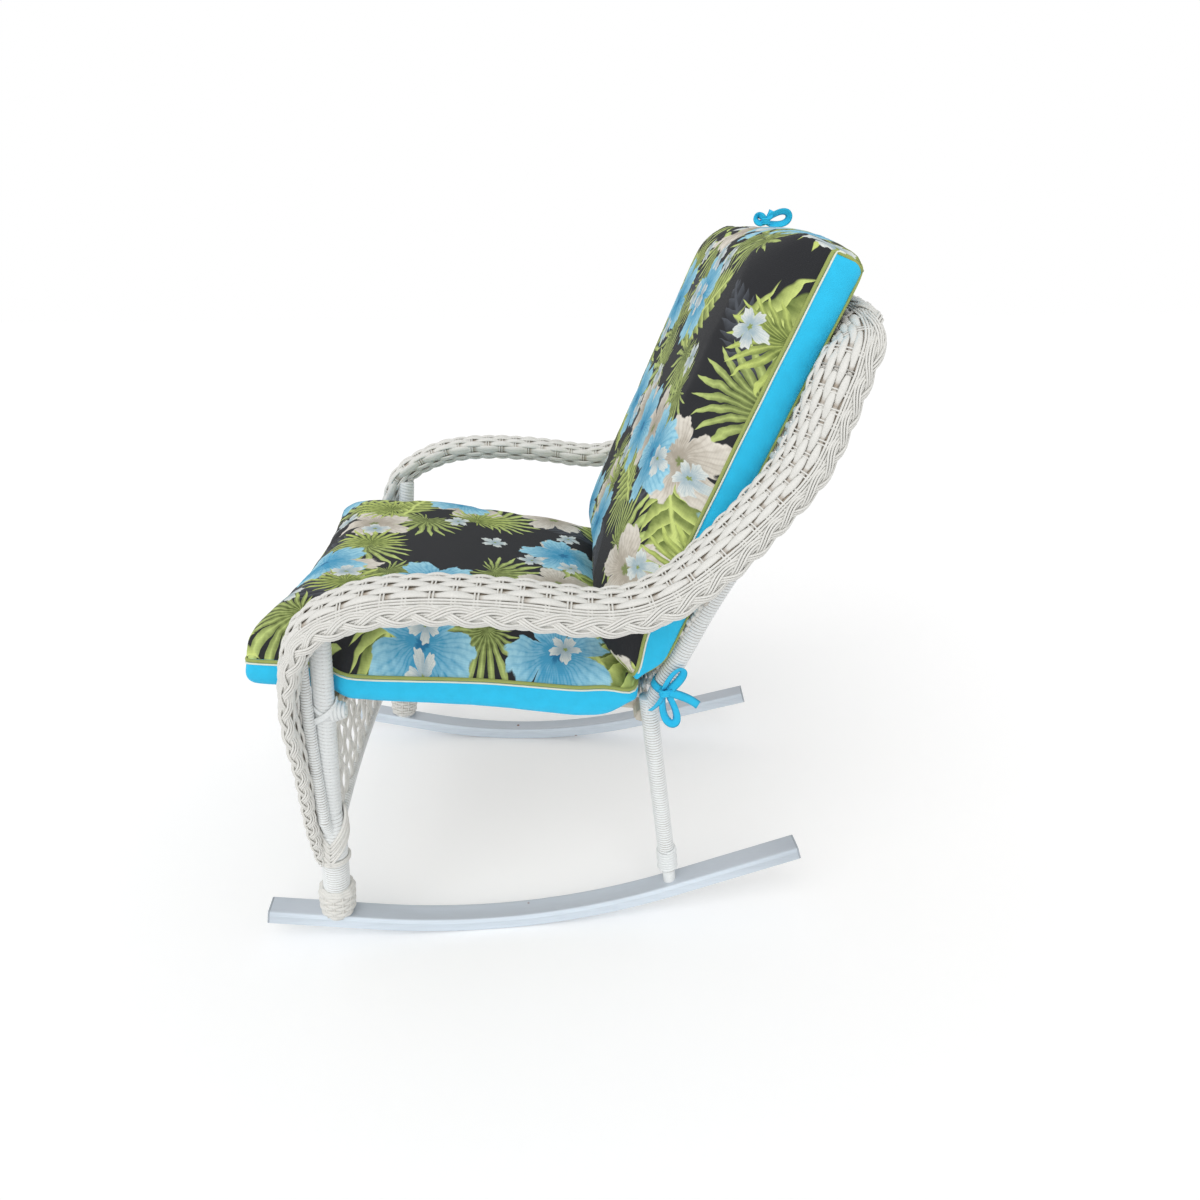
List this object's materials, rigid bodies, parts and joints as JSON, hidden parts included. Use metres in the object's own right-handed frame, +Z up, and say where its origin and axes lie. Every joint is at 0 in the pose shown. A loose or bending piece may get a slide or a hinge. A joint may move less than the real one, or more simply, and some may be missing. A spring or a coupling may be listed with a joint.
{
  "type": "rocking chair",
  "caption": "White wicker porch rocking chair: woven arms and back on a wrapped pole frame, bent painted tube rockers, and a hinged printed cushion tied on with cloth bows.",
  "frame": {"origin": "on the floor under the middle of the chair's bounding box", "axes": "+Z up, -Y the way the sitter faces, +X the sitter's left"},
  "size_m": [0.8234, 0.8028, 1.0089],
  "materials": {
    "rocker_paint": "satin",
    "cap_plastic": "matte",
    "screw_steel": "satin",
    "pole_wrap": "satin",
    "rattan_pole": "matte",
    "reed_weave": "satin",
    "printed_cloth": "matte",
    "tie_cloth": "matte"
  },
  "bodies": {
    "root": {"apron_edge_pole": "pole_wrap", "back_cushion": "printed_cloth", "back_rim_band": "reed_weave", "back_top_rail": "rattan_pole", "cushion_hinge": "tie_cloth", "front_apron": "reed_weave", "left_arm_band": "reed_weave", "left_arm_brace": "pole_wrap", "left_arm_pole": "rattan_pole", "left_back_post": "pole_wrap", "left_back_stake": "rattan_pole", "left_front_foot_collar": "reed_weave", "left_front_leg": "pole_wrap", "left_front_leg_screw": "screw_steel", "left_rear_foot_wrap": "pole_wrap", "left_rear_leg": "pole_wrap", "left_rear_leg_screw": "screw_steel", "left_rear_tie": "tie_cloth", "left_rocker": "rocker_paint", "left_rocker_front_cap": "cap_plastic", "left_rocker_rear_cap": "cap_plastic", "left_seat_binding": "pole_wrap", "middle_back_stake": "rattan_pole", "right_arm_band": "reed_weave", "right_arm_brace": "pole_wrap", "right_arm_pole": "rattan_pole", "right_back_post": "pole_wrap", "right_back_stake": "rattan_pole", "right_front_foot_collar": "reed_weave", "right_front_leg": "pole_wrap", "right_front_leg_screw": "screw_steel", "right_rear_foot_wrap": "pole_wrap", "right_rear_leg": "pole_wrap", "right_rear_leg_screw": "screw_steel", "right_rear_tie": "tie_cloth", "right_rocker": "rocker_paint", "right_rocker_front_cap": "cap_plastic", "right_rocker_rear_cap": "cap_plastic", "right_seat_binding": "pole_wrap", "seat_cushion": "printed_cloth", "seat_front_bar": "rattan_pole", "seat_front_rail": "rattan_pole", "seat_left_rail": "rattan_pole", "seat_rear_bar": "rattan_pole", "seat_rear_rail": "rattan_pole", "seat_right_rail": "rattan_pole", "top_tie": "tie_cloth", "woven_back": "reed_weave", "woven_seat": "reed_weave"}
  },
  "joints": []
}
